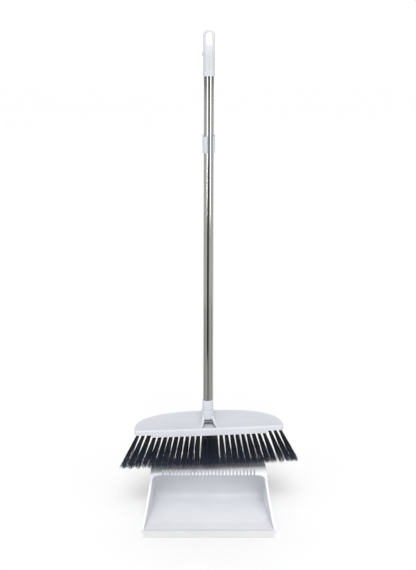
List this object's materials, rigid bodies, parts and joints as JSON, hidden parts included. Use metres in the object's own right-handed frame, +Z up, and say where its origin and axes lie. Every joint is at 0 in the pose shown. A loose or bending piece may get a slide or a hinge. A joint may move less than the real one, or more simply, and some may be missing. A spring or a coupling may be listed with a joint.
{
  "type": "upright dust pan and brush set",
  "caption": "Hooded floor dust pan on a hinged steel handle with a C-clip that holds a long-handled broom, its flared dark bristles over the pan's comb.",
  "frame": {"origin": "on the floor under the middle of the pan's flat underside, in its mirror plane", "axes": "+Z up along the handles, -Y out of the pan's mouth, +X to the right seen from the mouth's side"},
  "size_m": [0.3742, 0.2338, 1.0055],
  "materials": {
    "white_plastic": "white moulded polypropylene with a soft satin sheen",
    "lip_plastic": "softer matt white strip",
    "polished_tube": "polished stainless steel tube",
    "fastener_steel": "plain steel",
    "bristle": "dark blue-grey polypropylene filament, split at the tips"
  },
  "bodies": {
    "pan": {"pan_base": "white_plastic", "pan_hood": "white_plastic", "lip_strip": "lip_plastic", "hinge_pin": "fastener_steel", "hinge_pin_cap": "fastener_steel"},
    "pan_handle": {"handle_socket": "white_plastic", "socket_screw": "fastener_steel", "pan_pole": "polished_tube", "pan_pole_plug": "white_plastic", "pan_pole_top_plug": "white_plastic", "broom_clip": "white_plastic", "clip_screw": "fastener_steel"},
    "broom": {"pole_ferrule": "white_plastic", "broom_pole": "polished_tube", "broom_pole_plug": "white_plastic", "grip_plug": "white_plastic", "grip": "white_plastic", "head_cover": "white_plastic", "tuft_block": "white_plastic", "cover_screw_1": "fastener_steel", "cover_screw_2": "fastener_steel", "cover_screw_3": "fastener_steel", "cover_screw_4": "fastener_steel", "bristle_row_1": "bristle", "bristle_row_2": "bristle", "bristle_row_3": "bristle", "bristle_row_4": "bristle", "bristle_row_5": "bristle"}
  },
  "joints": [
    {"name": "handle_fold", "type": "hinge", "parent": "pan", "child": "pan_handle", "pos_m": [0, 0.12, 0.058], "axis": [-1, 0, 0], "range_deg": [0, 90]},
    {"name": "broom_unclip", "type": "slide", "parent": "pan_handle", "child": "broom", "axis": [0, -1, 0], "range_m": [0, 0.3], "deforming": ["broom_clip"]}
  ]
}
